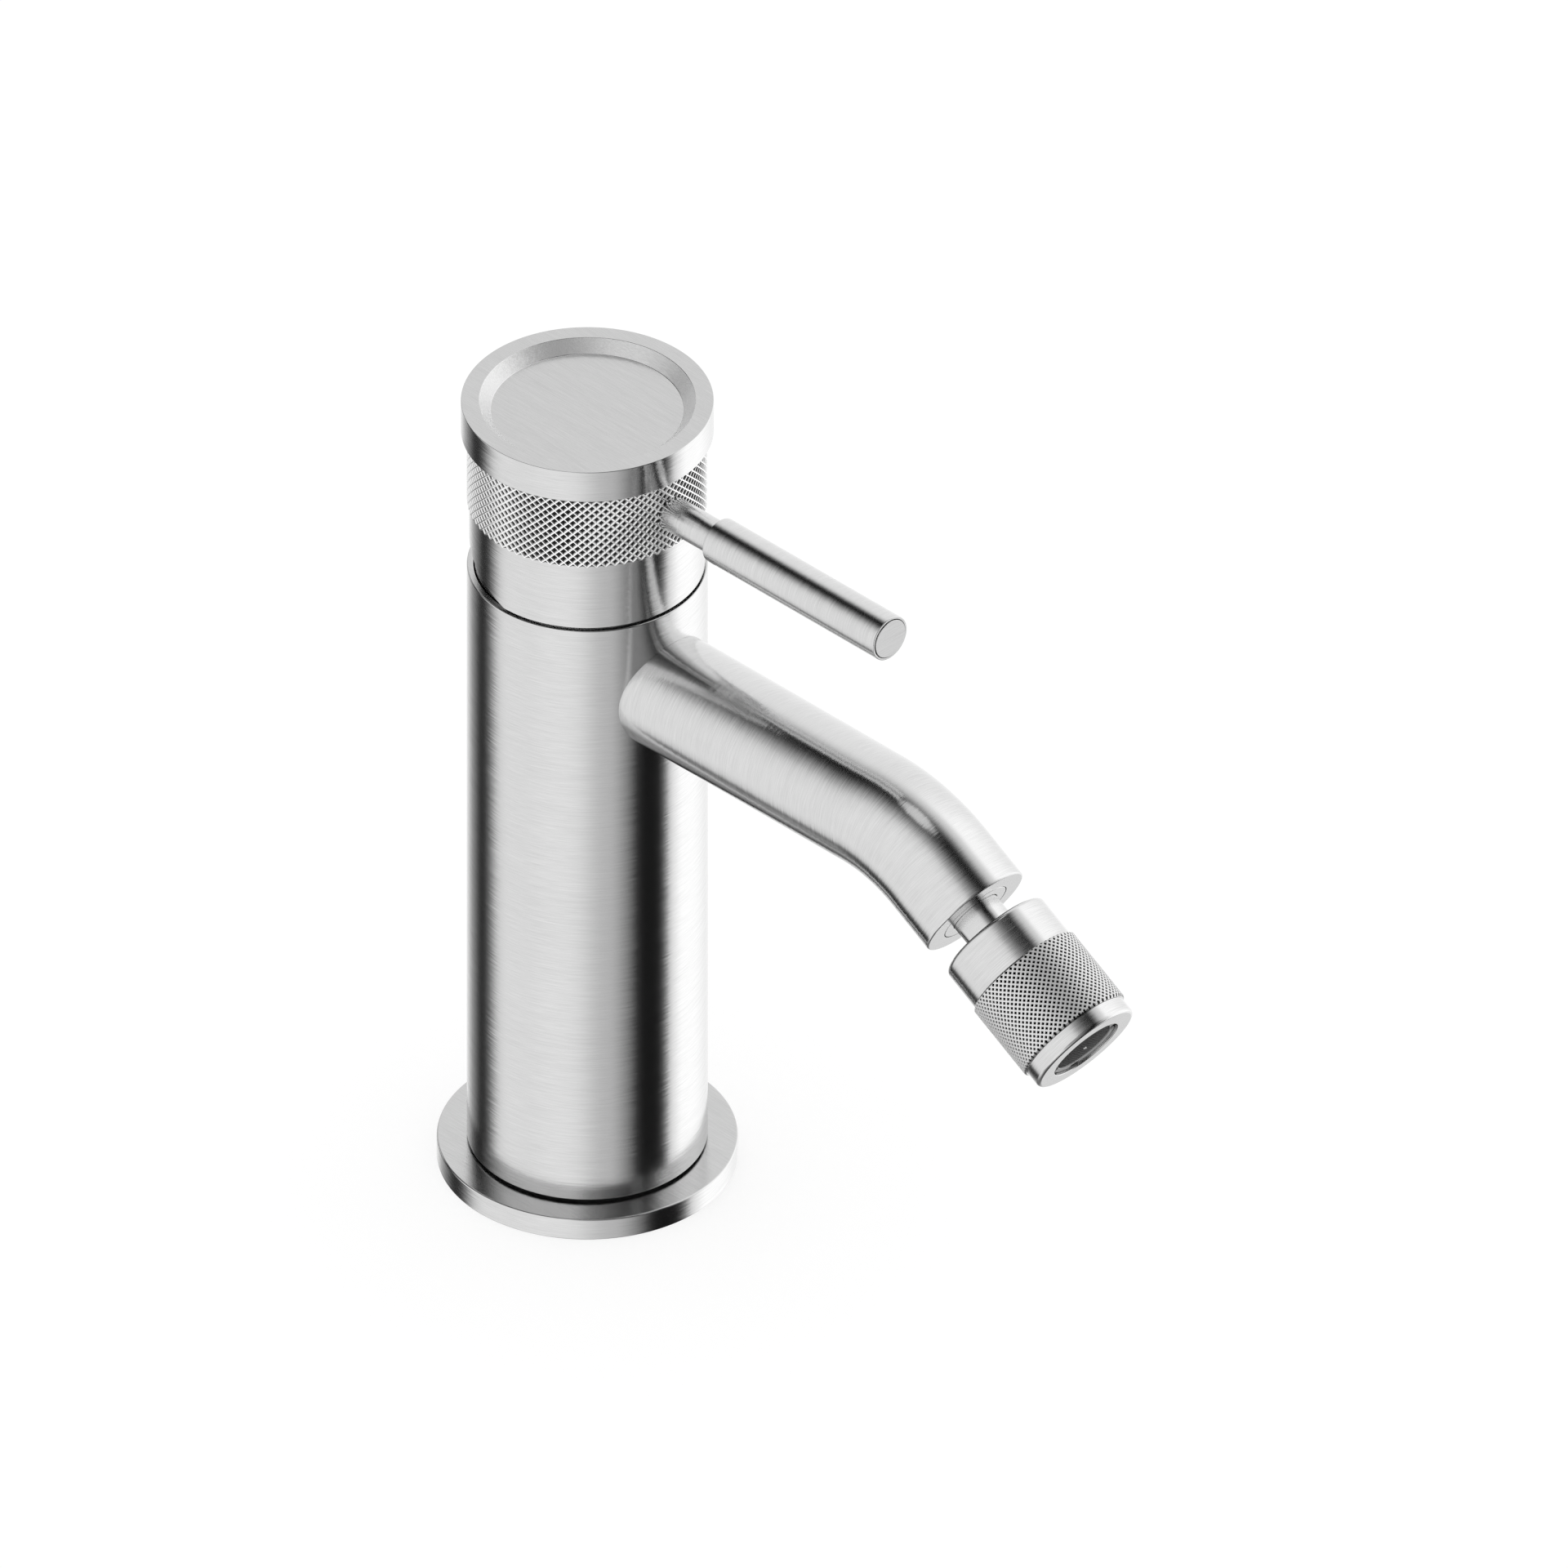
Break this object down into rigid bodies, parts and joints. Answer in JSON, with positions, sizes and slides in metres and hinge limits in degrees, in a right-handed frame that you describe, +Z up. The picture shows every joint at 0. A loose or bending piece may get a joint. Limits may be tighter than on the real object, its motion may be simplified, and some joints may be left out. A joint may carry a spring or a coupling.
{
  "type": "bidet mixer tap",
  "caption": "Single-lever deck-mounted bidet mixer: round column, slim bent spout with ball-jointed knurled nozzle, and tilting, turning handle with rod lever.",
  "frame": {"origin": "on the column's axis at the underside of the base flange, where the mixer stands on the ceramic", "axes": "+Z up the column; the spout and the lever point along -Y, towards the user; +X is the user's right, the cold side"},
  "size_m": [0.05, 0.1468, 0.153],
  "materials": {
    "brushed_steel": "fine brushed, satin",
    "knurled_steel": "diamond knurled",
    "turned_steel": "smooth turned",
    "steel_mesh": "fine woven mesh",
    "brass": "machined",
    "copper": "drawn tube",
    "rubber": "matt black",
    "ceramic": "lapped",
    "plastic": "moulded"
  },
  "bodies": {
    "root": {"base_flange": "brushed_steel", "base_gasket": "rubber", "column_seal": "rubber", "foot_block": "brass", "column_tube": "brushed_steel", "hot_pipe": "copper", "cold_pipe": "copper", "pipe_seals": "rubber", "tie_rods": "turned_steel", "valve_body": "brass", "spout_nipple": "brass", "nipple_seal": "rubber", "spout_tube": "brushed_steel", "spout_insert": "brushed_steel", "cartridge_base": "plastic", "base_seals": "rubber", "fixed_disc": "ceramic", "cartridge_housing": "plastic", "cartridge_seal": "rubber", "cartridge_nut": "brass", "dome_cover": "turned_steel"},
    "carrier": {"stem_carrier": "plastic", "pivot_pin": "turned_steel"},
    "slider": {"disc_holder": "plastic", "moving_disc": "ceramic"},
    "handle": {"cartridge_stem": "turned_steel", "stem_screw": "turned_steel", "handle_hub": "turned_steel", "handle_skirt": "brushed_steel", "knurled_ring": "knurled_steel", "cap_disc": "brushed_steel", "cap_seal": "rubber", "lever_neck": "turned_steel", "lever_grip": "brushed_steel", "grip_plug": "turned_steel"},
    "ball": {"ball_stem": "turned_steel", "stem_seal": "rubber"},
    "nozzle": {"nozzle_body": "brushed_steel", "ball_seat": "plastic", "ball_seal": "rubber", "aerator_washer": "rubber", "nozzle_sleeve": "knurled_steel", "nozzle_ring": "brushed_steel", "aerator_housing": "plastic", "aerator_screen": "steel_mesh"}
  },
  "joints": [
    {"name": "temperature", "type": "hinge", "parent": "root", "child": "carrier", "pos_m": [0, 0, 0.122], "axis": [0, 0, 1], "range_deg": [-45, 45]},
    {"name": "flow", "type": "hinge", "parent": "carrier", "child": "handle", "pos_m": [0, 0, 0.122], "axis": [-1, 0, 0], "range_deg": [0, 20]},
    {"name": "disc_slide", "type": "slide", "parent": "carrier", "child": "slider", "axis": [0, -1, 0], "range_m": [0, 0.0043]},
    {"name": "nozzle_turn", "type": "hinge", "parent": "root", "child": "ball", "pos_m": [0, -0.09972, 0.08948], "axis": [0, -0.866, -0.5], "continuous": true},
    {"name": "nozzle_tilt", "type": "hinge", "parent": "ball", "child": "nozzle", "pos_m": [0, -0.09972, 0.08948], "axis": [1, 0, 0], "range_deg": [-18, 18]}
  ],
  "couplings": [
    {"joint": "disc_slide", "follows": "flow", "m_per_rad": 0.012248}
  ]
}
